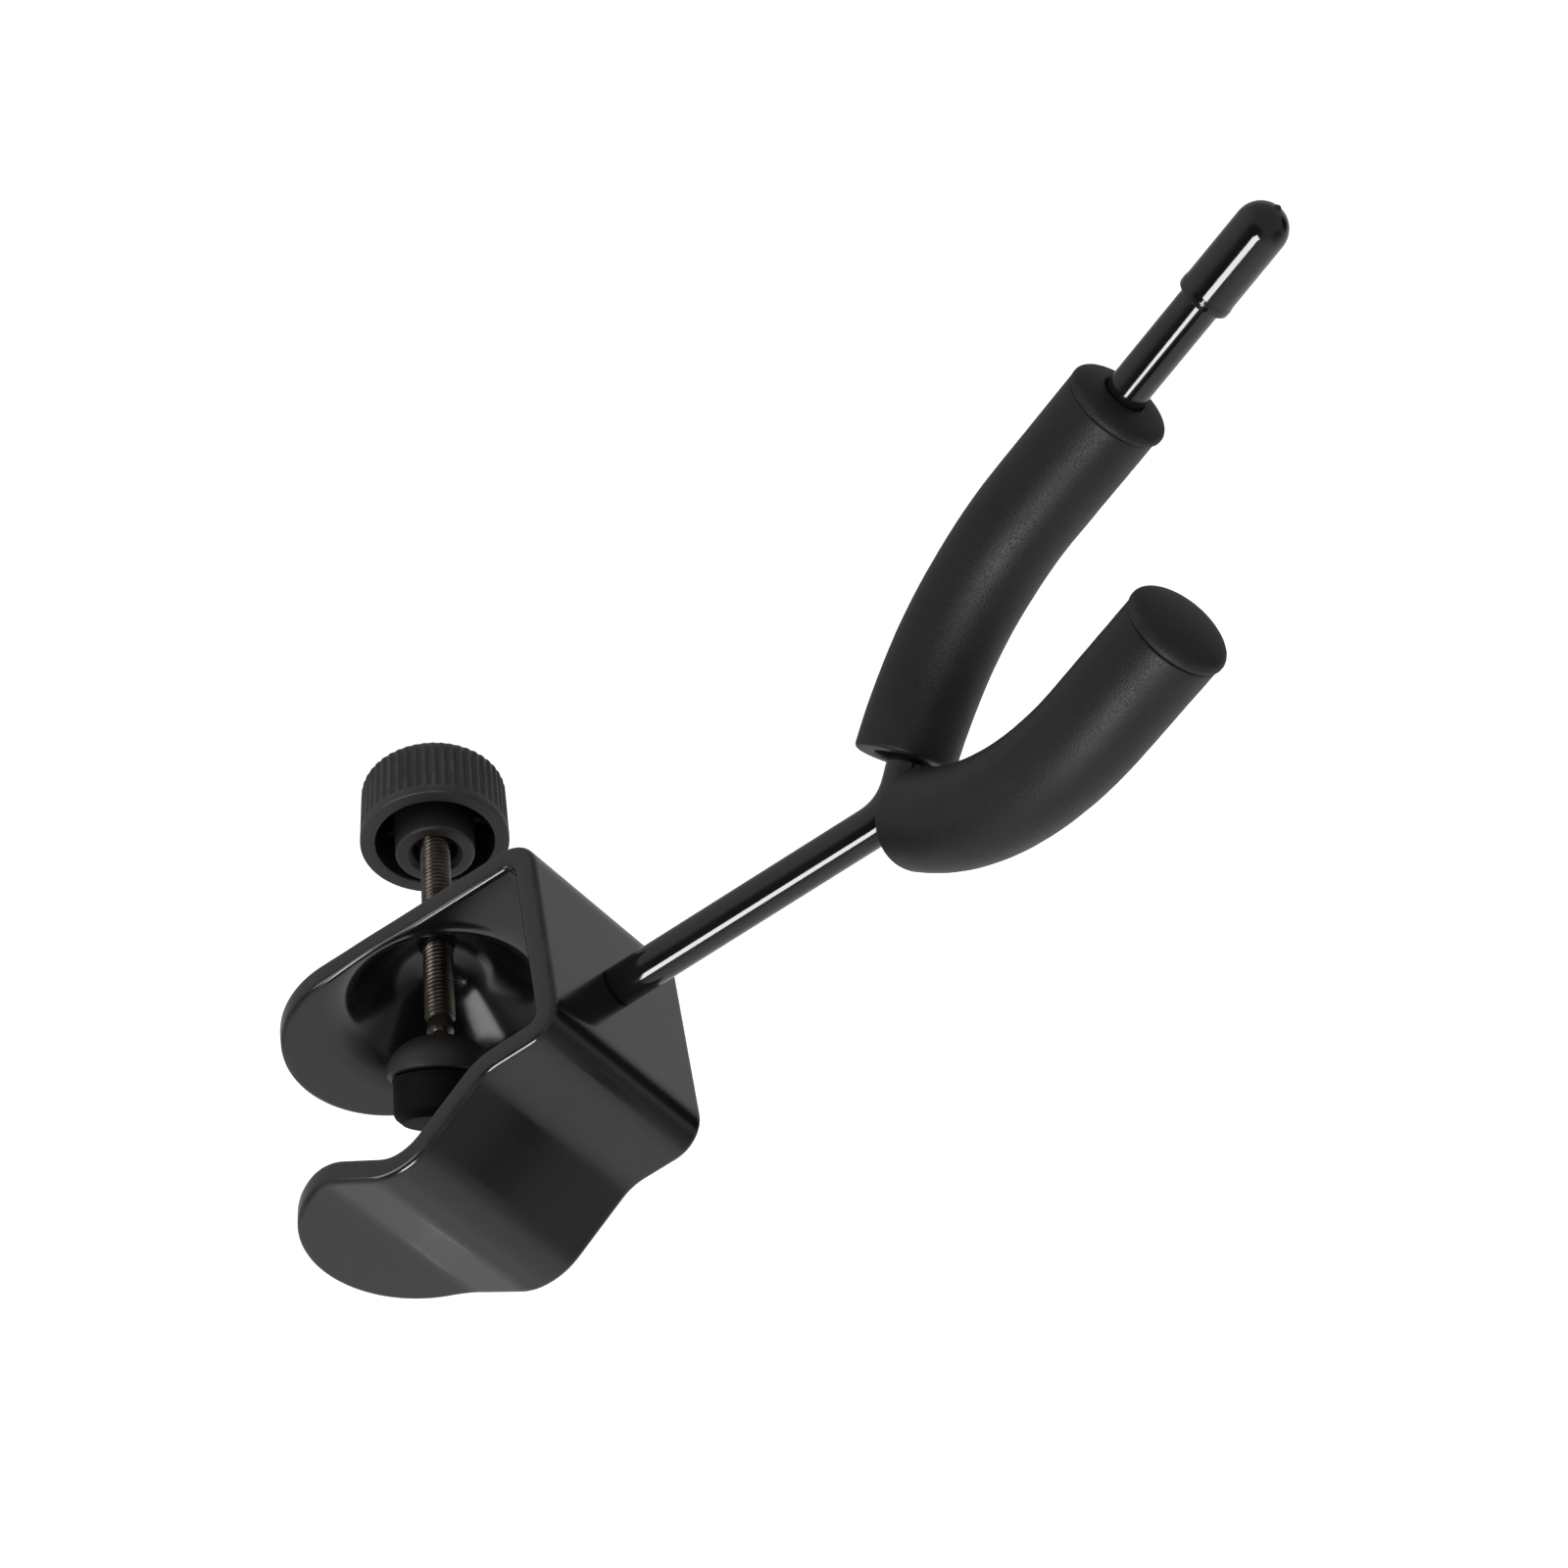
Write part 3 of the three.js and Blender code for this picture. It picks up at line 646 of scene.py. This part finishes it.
def foam_sleeve(name, points, side):
    """A foam tube round an arm, open at both ends."""
    path = Path(points, ACROSS)
    length = path.lengths[-1]

    def uneven(distance, angle, radius):
        """Foam isn't perfectly round: the outside swells and sinks a little."""
        if radius < BORE_R + 1:
            return radius
        way = Vector((math.cos(angle) * 0.8, math.sin(angle) * 0.8, distance / 14 + side * 9))
        fine = Vector((math.cos(angle) * 3, math.sin(angle) * 3, distance / 3.5 + side * 5))
        settled = 0.2 * max(0.0, -side * math.cos(angle)) * distance / length
        return radius + settled + 0.10 * noise.noise(way) + 0.03 * noise.noise(fine)

    corners = [(0, BORE_R, 0.5), (0, SLEEVE_R, 0.7), (length, SLEEVE_R, 0.5), (length, BORE_R, 0)]
    return turned(name, path, corners, foam, 72, True, uneven, 1.2)


def arm_end(side, run):
    """The frame in which an arm's end pieces are turned."""
    start = yoke_point(run, side * ARM_SPREAD)
    return Path([start, start + RUN], ACROSS)


def dome(foot, radius, height, until, steps=12):
    """Elliptic dome as profile corners, from its foot to an angle in degrees."""
    corners = []
    for k in range(1, steps + 1):
        a = math.radians(until * k / steps)
        corners.append((foot + height * math.sin(a), radius * math.cos(a), 0))
    return corners


def end_collar():
    """The domed disc at the long sleeve's end, with the bar through it."""
    corners = [(0, ROD_BORE_R, 0.2), (0, DISC_R, 0.35), (0.9, DISC_R, 0.3),
               *dome(0.9, 9.9, 2.4, 63), (0.9 + 2.0, 4.25, 0.15), (0.9 + 1.6, ROD_BORE_R, 0)]

    def off_centre(distance, angle, radius):
        """The disc sits a little to the yoke's inner side; its bore stays round the rod."""
        return radius - 0.55 * math.cos(angle) * min(1.0, max(0.0, (radius - 4.5) / 2))

    return turned("end_collar", arm_end(1, LONG_DISC_RUN), corners, end_foam, 72, True, off_centre)


def end_cap():
    """The domed disc that closes the short sleeve."""
    corners = [(0, 0, 0), (0, DISC_R, 0.35), (0.9, DISC_R, 0.3), *dome(0.9, 9.9, 2.9, 90)]
    return turned("end_cap", arm_end(-1, SHORT_DISC_RUN), corners, end_foam, 72)


def tip_cap():
    """The dipped cap on the long bar's tip, with a thick rim and a drip at its end."""
    length = TIP_CAP_END - TIP_CAP_RUN
    r = TIP_CAP_R
    corners = [(19.3, 0, 0), (19.3, 4.1, 0.5), (0.9, 4.1, 0.3), (0.6, 4.4, 0.2), (0.6, 5.15, 0.35),
               (1.9, 5.2, 0.8), (2.8, r, 0.8), (length - r, r - 0.05, 0)]
    corners += dome(length - r, r - 0.05, r, 80, 14)
    corners += [(length + 0.25, 0.62, 0.2), (length + 0.5, 0.35, 0.15), (length + 0.55, 0, 0)]
    return turned("tip_cap", arm_end(1, TIP_CAP_RUN), corners, vinyl, 64)


# ---- screw, knob and pad -------------------------------------------------------------------------
BALL = Vector(joints["knob_turn"]["pos_m"]) / MM
SCREW_AXIS = Vector(joints["knob_turn"]["axis"]).normalized()
UP = Vector((0, 0, 1))
screw_path = Path([BALL, BALL + SCREW_AXIS], UP.cross(SCREW_AXIS))
tilt = Matrix.Rotation(PAD_TILT, 3, Vector(joints["pad_swivel"]["axis"]))
pad_path = Path([BALL, BALL + tilt @ SCREW_AXIS], tilt @ UP.cross(SCREW_AXIS))


def clamp_screw():
    """M6 screw with a real helical thread between its turned neck and its end in the knob."""
    sides, start, end = 36, THREAD_START, BOSS_FACE + 5.5
    root, chamfer = SCREW_R - 0.6, 1.1
    profile = [(0.0, root), (0.07, root), (0.44, SCREW_R - 0.03), (0.5, SCREW_R),
               (0.57, SCREW_R), (0.63, SCREW_R - 0.03)]
    turns = math.ceil((end - start) / PITCH) + 1
    verts, faces = [], []
    origin, across, up, along = screw_path.frame(0)
    rows = len(profile)
    for i in range(turns * sides + 1):
        angle = 2 * math.pi * i / sides
        for offset, radius in profile:
            z = start - PITCH + PITCH * i / sides + PITCH * offset
            fade = min(1.0, max(0.0, (z - start) / chamfer))
            z = min(end, max(start, z))
            r = root + (radius - root) * fade if z < end else root
            verts.append(origin + along * z + (across * math.cos(angle) + up * math.sin(angle)) * r)
    for i in range((turns - 1) * sides):
        for j in range(rows):
            a, b = i * rows + j, (i + 1) * rows + j
            if j < rows - 1:
                c, d = b + 1, a + 1
            else:
                c, d = (i + 1 + sides) * rows, (i + sides) * rows
            if max(a, b, c, d) < len(verts):
                faces.append((a, b, c, d))
    # riveted end, the stretch in the ball, and the neck
    lower = [(-3.7, 0), (-3.7, 1.3), (-3.45, NECK_R), (-3.3, NECK_R), (-3.3, 1.2), (3.25, 1.2),
             (3.25, NECK_R), (5.7, NECK_R), (6.0, 1.9), (6.5, 2.6), (8.5, 2.6), (start, root)]
    upper = [(end, root), (end + 1, root), (end + 1, 0)]
    for ends in (lower, upper):
        more, more_faces = revolved(screw_path, ends, sides)
        faces += [tuple(k + len(verts) for k in face) for face in more_faces]
        verts += more
    return mesh_object("threaded_screw", verts, faces, screw_steel, 32)


def knob():
    """The moulded knob: fluted outside, open below, with a boss for the screw and six ribs."""
    crown, draft, shoulder_r = 2.6, 0.4, 13.2
    pulse = (0.0, 0.0, 0.08, 0.45, 0.9, 1.0, 0.9, 0.45)

    def fluted(distance, angle, radius):
        """Grooves from the smooth band at the rim up over the rounded top edge."""
        if radius < shoulder_r or distance < KNOB_RIM + KNOB_BAND:
            return radius
        step = round(angle / (2 * math.pi) * KNOB_FLUTES * len(pulse)) % len(pulse)
        rise = min(1.0, (distance - KNOB_RIM - KNOB_BAND) / 0.35)
        fall = min(1.0, max(0.0, (radius - shoulder_r) / 0.9))
        return radius - FLUTE_DEPTH * pulse[step] * rise * fall

    top_r = KNOB_R - draft
    outside = [(KNOB_RIM, 11.9, 0.3), (KNOB_RIM, KNOB_R, 0.35), (KNOB_RIM + KNOB_BAND, 14.87, 0),
               (KNOB_RIM + 2.25, 14.86, 0), (KNOB_TOP - crown, top_r, 0)]
    for k in range(1, 10):
        a = math.pi / 2 * k / 9
        outside.append((KNOB_TOP - crown + crown * math.sin(a),
                        top_r - crown + crown * math.cos(a), 0))
    outside += [(KNOB_TOP - 0.05, 9.5, 0.5), (KNOB_TOP - 0.35, 9.0, 0.5), (KNOB_TOP - 0.35, 0, 0)]
    inside = [(BOSS_FACE + 7, 0, 0), (BOSS_FACE + 7, 3.2, 0), (BOSS_FACE + 5, 3.2, 0.2),
              (BOSS_FACE + 4.8, 4.4, 0.2), (BOSS_FACE + 1.1, 4.5, 0.2), (BOSS_FACE, 5.5, 0.25),
              (BOSS_FACE, 7.9, 0.6), (KNOB_CEILING, 8.1, 0.5), (KNOB_CEILING, 11.6, 0.5)]
    ribs = []
    rib_foot = KNOB_RIM + 9
    origin, across, up, along = screw_path.frame(rib_foot)
    for k in range(6):
        spin = Matrix.Rotation(math.pi * k / 3, 3, along)
        out, side = spin @ across, spin @ up
        corners = []
        for r in (7.6, 12.3):
            for z in (0.0, KNOB_CEILING + 0.8 - rib_foot):
                for y in (-0.6, 0.6):
                    corners.append(origin + out * r + along * z + side * y)
        quads = [(0, 1, 3, 2), (4, 6, 7, 5), (0, 4, 5, 1), (2, 3, 7, 6), (0, 2, 6, 4), (1, 5, 7, 3)]
        ribs.append(mesh_object("rib", corners, quads, None))
    return turned("knob_grip", screw_path, inside + outside, knob_plastic,
                  KNOB_FLUTES * len(pulse), False, fluted, 4.0, sharp=42, joined=ribs)


def swivel_ball():
    """The ball with its bore for the screw's riveted end."""
    corners = []
    flat = math.degrees(math.acos(1.35 / BALL_R))
    for k in range(25):
        a = math.radians(-flat + 2 * flat * k / 24)
        corners.append((BALL_R * math.sin(a), BALL_R * math.cos(a), 0))
    return turned("ball_turned", screw_path, corners, screw_steel, 48, True)


def pad_cap():
    """The domed cap that holds the ball in its socket."""
    opening = math.degrees(math.acos(4.6 / CAP_R))
    crown = dome(-3.0, CAP_R, 7.5, opening, 14)
    socket = []
    for k in range(7):
        a = math.radians(29 - 29 * k / 6)
        socket.append((SOCKET_R * math.sin(a), SOCKET_R * math.cos(a), 0))
    corners = [(-4.0, 8.5, 0.2), (-4.0, CAP_R, 0.4), (-3.0, CAP_R, 0.2), *crown, *socket,
               (-1.9, SOCKET_R, 0), (-1.9, 8.5, 0)]
    return turned("pad_dome", pad_path, corners, pad_plastic, 72, True)


def pad_foot():
    """The foot under the cap, with a bevelled sole and a rim that sits in the cap."""
    corners = [(-13, 0, 0), (-13, 7.3, 0.6), (-12.7, 7.6, 0.3), (-11.6, 9.0, 1.6),
               (-5.2, 9.15, 0.3), (-4.8, 9.35, 0.3), (-4.3, 9.35, 0.3), (-4.3, 8.2, 0),
               (-2.2, 8.2, 0.2), (-2.2, 4.2, 0.2), (-4.6, 4.2, 0), (-4.6, 0, 0)]
    return turned("pad_sole", pad_path, corners, pad_rubber, 72)


# ---- the pieces on their bodies ------------------------------------------------------------------
long_line = sleeve_points(1, *LONG_SLEEVE)
short_line = sleeve_points(-1, *SHORT_SLEEVE)
pieces = [  # piece, body, the CAD node that it stands for, slot
    (bracket(), "frame", "clamp_bracket", "bracket_paint"),
    (long_rod(), "frame", "long_rod", "rod_paint"),
    (short_rod(), "frame", "short_rod", "rod_paint"),
    (foam_sleeve("long_foam", long_line, 1), "frame", "long_foam_sleeve", "foam"),
    (foam_sleeve("short_foam", short_line, -1), "frame", "short_foam_sleeve", "foam"),
    (end_collar(), "frame", "sleeve_end_collar", "end_foam"),
    (end_cap(), "frame", "sleeve_end_cap", "end_foam"),
    (tip_cap(), "frame", "rod_tip_cap", "vinyl"),
    (clamp_screw(), "screw", "clamp_screw", "screw_steel"),
    (knob(), "screw", "knob", "knob_plastic"),
    (swivel_ball(), "ball_carriage", "swivel_ball", "screw_steel"),
    (pad_cap(), "pad", "pad_cap", "pad_plastic"),
    (pad_foot(), "pad", "pad_foot", "pad_rubber"),
]
for piece, body, node, slot in pieces:
    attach(piece, body)
    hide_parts(node)

# ---- floor, light and camera ---------------------------------------------------------------------
low, high = cad_box
middle = (low + high) / 2


def floor_plane():
    """The pale surface just under the part."""
    material, nodes, links, shader = tree("floor")
    shade = spread(nodes, links, pattern(nodes, links, 3), 0, 1)
    links.new(mix_colours(nodes, links, shade, (0.93, 0.93, 0.93), (0.95, 0.95, 0.95)),
              shader.inputs["Base Color"])
    shader.inputs["Roughness"].default_value = 0.9
    shader.inputs["Specular IOR Level"].default_value = 0.1
    mesh = bpy.data.meshes.new("floor")
    reach, z = 8.0, low.z - 0.16
    corners = [(-reach, -reach, z), (reach, -reach, z), (reach, reach, z), (-reach, reach, z)]
    mesh.from_pydata(corners, [], [(0, 1, 2, 3)])
    mesh.materials.append(material)
    made = bpy.data.objects.new("floor", mesh)
    made.visible_glossy = False  # the surroundings stand in for it in reflections
    bpy.context.scene.collection.objects.link(made)


def softbox(name, direction, distance, size, power):
    """An area light that looks at the object's middle."""
    light = bpy.data.lights.new(name, "AREA")
    light.shape = "RECTANGLE"
    light.size, light.size_y = size
    light.energy = power
    made = bpy.data.objects.new(name, light)
    away = Vector(direction).normalized()
    made.location = middle + away * distance
    made.rotation_mode = "QUATERNION"
    made.rotation_quaternion = away.to_track_quat("Z", "Y")
    bpy.context.scene.collection.objects.link(made)
    return made


def studio_card(name, seen_at, direction, along, size, brightness):
    """A card that shows only as a reflection, on the face at a point in mm."""
    away = Vector(direction).normalized()
    x = Vector(along)
    x = (x - away * x.dot(away)).normalized() * size[0] / 2
    y = away.cross(x).normalized() * size[1] / 2
    centre = Vector(seen_at) + away * CARD_DISTANCE
    corners = [centre - x - y, centre + x - y, centre + x + y, centre - x + y]
    material, nodes, links, shader = tree(name)
    shade = spread(nodes, links, pattern(nodes, links, 30), 0, 1)
    links.new(mix_colours(nodes, links, shade, (0.01, 0.01, 0.01), (0.015, 0.015, 0.015)),
              shader.inputs["Base Color"])
    shader.inputs["Roughness"].default_value = 0.9
    shader.inputs["Emission Color"].default_value = (1, 1, 1, 1)
    shader.inputs["Emission Strength"].default_value = brightness
    mesh = bpy.data.meshes.new(name)
    mesh.from_pydata([tuple(corner * MM) for corner in corners], [], [(0, 1, 2, 3)])
    mesh.materials.append(material)
    made = bpy.data.objects.new(name, mesh)
    made.visible_camera = made.visible_diffuse = made.visible_shadow = False
    bpy.context.scene.collection.objects.link(made)


def studio_world(base, zones):
    """Surroundings with lighter and darker zones: (direction, outer and inner angle, amount)."""
    made = bpy.data.worlds.new("studio")
    made.use_nodes = True
    nodes, links = made.node_tree.nodes, made.node_tree.links
    place = nodes.new("ShaderNodeTexCoord")
    total = None
    for direction, outer, inner, amount in zones:
        dot = nodes.new("ShaderNodeVectorMath")
        dot.operation = "DOT_PRODUCT"
        dot.inputs[1].default_value = Vector(direction).normalized()
        links.new(place.outputs["Generated"], dot.inputs[0])
        zone = nodes.new("ShaderNodeMapRange")
        zone.interpolation_type = "SMOOTHSTEP"
        zone.inputs["From Min"].default_value = math.cos(math.radians(outer))
        zone.inputs["From Max"].default_value = math.cos(math.radians(inner))
        under = base if total is None else 0.0
        zone.inputs["To Min"].default_value = under
        zone.inputs["To Max"].default_value = amount + under
        links.new(dot.outputs["Value"], zone.inputs["Value"])
        result = zone.outputs["Result"]
        total = result if total is None else add(nodes, links, total, result)
    least = nodes.new("ShaderNodeMath")
    least.operation = "MAXIMUM"
    least.inputs[1].default_value = 0.02
    links.new(total, least.inputs[0])
    links.new(least.outputs["Value"], nodes["Background"].inputs["Strength"])
    nodes["Background"].inputs["Color"].default_value = (1, 1, 1, 1)
    return made


floor_plane()
ceiling = bpy.data.lights.new("ceiling", "SUN")
ceiling.energy = 2.6
ceiling.angle = math.radians(120)
ceiling_object = bpy.data.objects.new("ceiling", ceiling)
ceiling_object.visible_glossy = False
bpy.context.scene.collection.objects.link(ceiling_object)
softbox("key", (-0.90, 0.32, 0.29), 1.0, (0.40, 0.34), 8.5)
studio_card("dark_card", (-10.7, 16.7, 6.0), (-0.599, -0.506, -0.619),
            (-0.533, 0.846, 0), (46, 9), 0)
studio_card("pale_card", (-5.7, 47.8, -10), (-0.045, 0.783, -0.619),
            (0.518, 0.855, 0), (15, 3), 1.6)
studio_card("bowl_card", (51.4, 29.2, -11.8), (-0.485, 0.322, 0.812),
            (1, 0, 0), (32, 56), 5)
bpy.context.scene.world = studio_world(0.4, [
    ((-0.35, 0.35, -0.85), 75, 20, 0.5),
    ((0.72, -0.32, -0.62), 45, 12, 0.12),
    ((-0.714, 0.322, 0.618), 42, 12, -0.4),
    ((0.39, 0.32, 0.86), 45, 10, 0.2),
    ((0.25, -0.74, -0.62), 22, 3, -0.45),
    ((-0.05, 0.78, -0.62), 30, 10, -0.25),
    ((-0.6, -0.5, -0.62), 30, 8, -0.3),
])
bpy.context.scene.view_settings.view_transform = "Standard"

camera_data = bpy.data.cameras.new("camera")
camera_data.lens = 107.26
camera_data.sensor_width = 36
camera_data.clip_start = 0.01
camera = bpy.data.objects.new("camera", camera_data)
camera.matrix_world = Matrix((
    (-0.1458, 0.6826, -0.7161, -0.58293),
    (-0.7986, -0.5085, -0.3221, -0.33496),
    (-0.5840, 0.5250, 0.6192, 0.54178),
    (0, 0, 0, 1),
))
bpy.context.scene.collection.objects.link(camera)
bpy.context.scene.camera = camera
